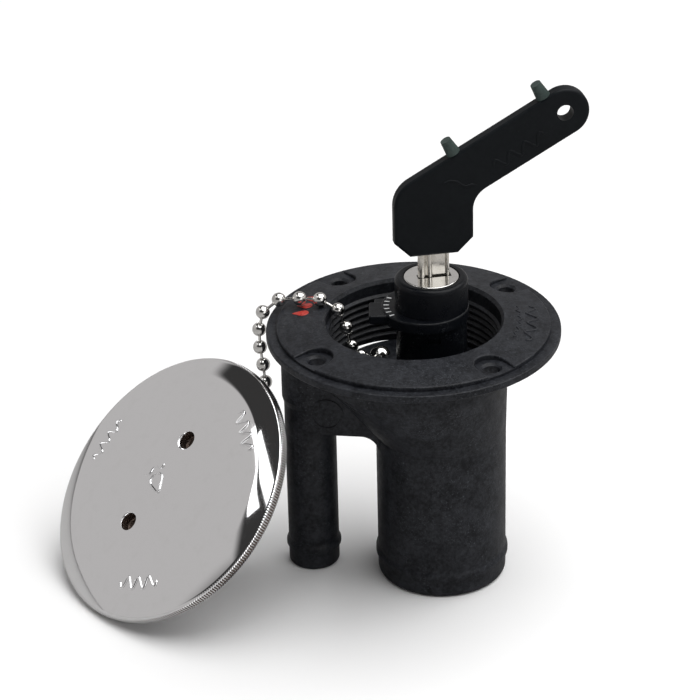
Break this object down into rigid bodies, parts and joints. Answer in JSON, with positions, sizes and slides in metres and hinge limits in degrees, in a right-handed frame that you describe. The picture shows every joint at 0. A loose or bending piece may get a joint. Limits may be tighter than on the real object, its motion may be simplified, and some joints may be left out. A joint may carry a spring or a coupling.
{
  "type": "deck fill cap",
  "caption": "Boat deck fuel fill with vent spigot, lift-out locking insert and key, and a chrome screw cap hanging from it on a bead chain.",
  "frame": {"origin": "centre of the throat and of the deck screws' circle, in the plane of the flange's underside", "axes": "+Z out of the deck along the throat's axis, +X from the vent spigot towards the fill neck"},
  "size_m": [0.1562, 0.0944, 0.1533],
  "materials": {
    "nylon": "moulded satin black",
    "lock_nylon": "moulded satin black",
    "key_plastic": "moulded satin black",
    "chrome": "polished plate",
    "nickel": "polished nickel plate",
    "stainless": "polished",
    "zinc": "as cast, plated",
    "brass": "stamped",
    "acetal": "moulded natural",
    "peg_steel": "dark green-grey coating",
    "rubber": "moulded"
  },
  "bodies": {
    "fitting": {"fill_body": "nylon", "anchor_screw": "stainless", "anchor_eyelet": "stainless", "rim_chain_balls": "stainless", "rim_chain_pins": "stainless"},
    "insert": {"lock_housing": "lock_nylon", "insert_seal": "rubber", "chamber_cover": "lock_nylon", "cover_screws": "stainless", "lock_shell": "zinc"},
    "cylinder": {"lock_plug": "nickel", "wafer_springs": "stainless", "retaining_clip": "stainless", "scroll_cam": "zinc", "cam_screw": "stainless"},
    "wafer_pack": {"wafers": "brass"},
    "bolt_front": {"front_bolt": "acetal"},
    "bolt_rear": {"rear_bolt": "acetal"},
    "key": {"key_blade": "nickel", "key_handle": "key_plastic", "spanner_pegs": "peg_steel"},
    "tether": {"hanging_chain_balls": "stainless", "hanging_chain_pins": "stainless", "swivel_eyelet": "stainless"},
    "cap": {"cap_shell": "chrome", "cap_seal": "rubber", "swivel_washer": "stainless", "swivel_screw": "stainless"}
  },
  "joints": [
    {"name": "insert_lift", "type": "slide", "parent": "fitting", "child": "insert", "axis": [0, 0, 1], "range_m": [-0.0118, 0.045]},
    {"name": "key_turn", "type": "hinge", "parent": "insert", "child": "cylinder", "pos_m": [0.0053, 0, 0.01853], "axis": [0, 0, 1], "range_deg": [0, 90]},
    {"name": "front_bolt_slide", "type": "slide", "parent": "insert", "child": "bolt_front", "axis": [0, -1, 0], "range_m": [0, 0.002]},
    {"name": "rear_bolt_slide", "type": "slide", "parent": "insert", "child": "bolt_rear", "axis": [0, 1, 0], "range_m": [0, 0.002]},
    {"name": "key_withdraw", "type": "slide", "parent": "cylinder", "child": "key", "axis": [0, 0, 1], "range_m": [0, 0.03]},
    {"name": "wafer_slide", "type": "slide", "parent": "cylinder", "child": "wafer_pack", "axis": [-0.9511, -0.309, 0], "range_m": [0, 0.0006]},
    {"name": "cap_swing", "type": "hinge", "parent": "fitting", "child": "tether", "pos_m": [-0.0447, 0.005, 0.0021], "axis": [-0.5888, 0.8083, 0], "range_deg": [0, 35]},
    {"name": "cap_spin", "type": "hinge", "parent": "tether", "child": "cap", "pos_m": [-0.0701, -0.0142, -0.04834], "axis": [-0.5055, -0.4933, 0.708], "continuous": true}
  ],
  "couplings": [
    {"joint": "front_bolt_slide", "follows": "key_turn", "m_per_rad": 0.0012669},
    {"joint": "rear_bolt_slide", "follows": "key_turn", "m_per_rad": 0.0012669},
    {"joint": "wafer_slide", "follows": "key_withdraw", "ratio": 0.0199}
  ]
}
